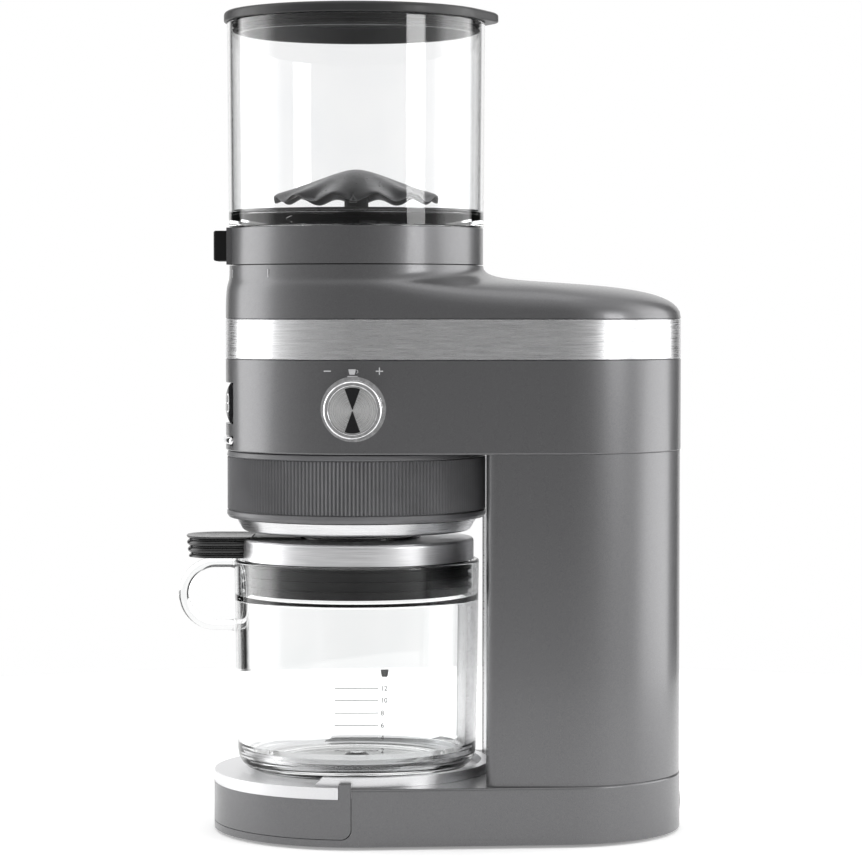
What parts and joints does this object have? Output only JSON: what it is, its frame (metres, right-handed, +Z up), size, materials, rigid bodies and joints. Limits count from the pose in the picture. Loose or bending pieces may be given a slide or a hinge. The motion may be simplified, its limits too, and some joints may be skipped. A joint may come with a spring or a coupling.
{
  "type": "burr coffee grinder",
  "caption": "Electric conical burr coffee grinder with a clear bean hopper, a side knob, a grind setting ring and a glass jar on a sliding tray.",
  "frame": {"origin": "on the burr and hopper axis, at the level of the counter, in the middle of the front foot ring", "axes": "+Z up along the burr axis, -Y to the front where the display and the jar's handle are, +X to the side with the knob"},
  "size_m": [0.155, 0.2512, 0.4073],
  "materials": {
    "body_paint": "satin metallic grey",
    "brushed_steel": "brushed",
    "chrome": "polished",
    "ring_grey": "satin grey, ribbed",
    "black_plastic": "satin black",
    "lid_plastic": "satin dark grey",
    "rubber": "matt",
    "gloss_black": "gloss",
    "clear": "clear",
    "jar_glass": "clear",
    "burr_steel": "ground",
    "zinc": "plated",
    "gear_nylon": "natural nylon",
    "magnet": "dark",
    "board": "green board"
  },
  "bodies": {
    "frame": {"base_shell": "body_paint", "base_plate": "black_plastic", "base_screws": "zinc", "rubber_feet": "rubber", "cord_gland": "black_plastic", "column_shell": "body_paint", "column_front_panel": "brushed_steel", "control_board": "board", "head_lower_shell": "body_paint", "trim_band": "brushed_steel", "head_top_cover": "body_paint", "bayonet_feed_ring": "black_plastic", "display_lens": "gloss_black", "display_board": "board", "knob_bezel": "brushed_steel", "encoder_case": "black_plastic", "gear_case": "black_plastic", "gear_case_cover": "black_plastic", "gear_case_screws": "zinc", "gear_pins": "burr_steel", "motor_can": "zinc", "motor_end_cap": "zinc", "motor_magnets": "magnet", "shaft_bearings": "burr_steel", "grind_chamber": "black_plastic", "ring_neck": "black_plastic", "chute_funnel": "gear_nylon", "spout_dish": "brushed_steel"},
    "hopper": {"hopper_glass": "clear", "hopper_funnel": "clear", "hopper_base": "black_plastic", "hopper_collar": "body_paint", "hopper_gasket": "rubber", "bean_guard": "lid_plastic"},
    "release_button": {"release_button": "black_plastic"},
    "hopper_lid": {"hopper_lid": "lid_plastic", "hopper_lid_seal": "rubber"},
    "grind_ring": {"adjusting_ring": "ring_grey"},
    "carrier": {"burr_carrier": "gear_nylon", "ring_burr": "burr_steel"},
    "motor_rotor": {"motor_armature": "burr_steel", "motor_pinion": "burr_steel"},
    "compound": {"compound_gear": "gear_nylon"},
    "idler": {"idler_gear": "gear_nylon"},
    "burr": {"burr_shaft": "burr_steel", "burr_gear": "gear_nylon", "sweeper": "gear_nylon", "cone_burr": "burr_steel", "cone_burr_bolt": "zinc"},
    "knob_push": {"encoder_plunger": "burr_steel"},
    "knob": {"encoder_shaft": "burr_steel", "knob_body": "chrome", "knob_face": "brushed_steel"},
    "start_button": {"start_button": "chrome"},
    "tray": {"tray_plate": "brushed_steel", "tray_fascia": "body_paint"},
    "jar": {"jar_glass": "jar_glass", "jar_lid_cap": "brushed_steel", "jar_lid_body": "black_plastic", "jar_lid_lever": "black_plastic"}
  },
  "joints": [
    {"name": "hopper_turn", "type": "hinge", "parent": "frame", "child": "hopper", "pos_m": [0, 0, 0.282], "axis": [0, 0, 1], "range_deg": [0, 32]},
    {"name": "release_button_press", "type": "slide", "parent": "hopper", "child": "release_button", "axis": [0, 1, 0], "range_m": [0, 0.0022], "stiffness_N_per_m": 400, "springref_m": -0.001},
    {"name": "hopper_lid_lift", "type": "slide", "parent": "hopper", "child": "hopper_lid", "axis": [0, 0, 1], "range_m": [0, 0.12]},
    {"name": "grind_ring_turn", "type": "hinge", "parent": "frame", "child": "grind_ring", "pos_m": [0, 0, 0.17], "axis": [0, 0, 1], "range_deg": [-140, 140]},
    {"name": "carrier_lift", "type": "slide", "parent": "frame", "child": "carrier", "axis": [0, 0, 1], "range_m": [-0.001, 0.001]},
    {"name": "motor_spin", "type": "hinge", "parent": "frame", "child": "motor_rotor", "pos_m": [0, 0.112, 0.15], "axis": [0, 0, 1], "continuous": true},
    {"name": "compound_spin", "type": "hinge", "parent": "frame", "child": "compound", "pos_m": [0.00907, 0.08467, 0.2], "axis": [0, 0, 1], "continuous": true},
    {"name": "idler_spin", "type": "hinge", "parent": "frame", "child": "idler", "pos_m": [-0.014, 0.05834, 0.2], "axis": [0, 0, 1], "continuous": true},
    {"name": "burr_spin", "type": "hinge", "parent": "frame", "child": "burr", "pos_m": [0, 0, 0.2], "axis": [0, 0, 1], "continuous": true},
    {"name": "knob_press", "type": "slide", "parent": "frame", "child": "knob_push", "axis": [-1, 0, 0], "range_m": [0, 0.0012], "stiffness_N_per_m": 1500, "springref_m": -0.001},
    {"name": "knob_turn", "type": "hinge", "parent": "knob_push", "child": "knob", "pos_m": [0.075, 0, 0.212], "axis": [1, 0, 0], "continuous": true},
    {"name": "start_button_press", "type": "slide", "parent": "frame", "child": "start_button", "axis": [0, 1, 0], "range_m": [0, 0.001], "stiffness_N_per_m": 800, "springref_m": -0.001},
    {"name": "tray_slide", "type": "slide", "parent": "frame", "child": "tray", "axis": [0, -1, 0], "range_m": [0, 0.145]},
    {"name": "jar_slide", "type": "slide", "parent": "tray", "child": "jar", "axis": [0, -1, 0], "range_m": [0, 0.14]}
  ],
  "couplings": [
    {"joint": "carrier_lift", "follows": "grind_ring_turn", "m_per_rad": 0.0004092},
    {"joint": "compound_spin", "follows": "motor_spin", "ratio": -0.2},
    {"joint": "idler_spin", "follows": "motor_spin", "ratio": 0.05},
    {"joint": "burr_spin", "follows": "motor_spin", "ratio": -0.04375}
  ]
}
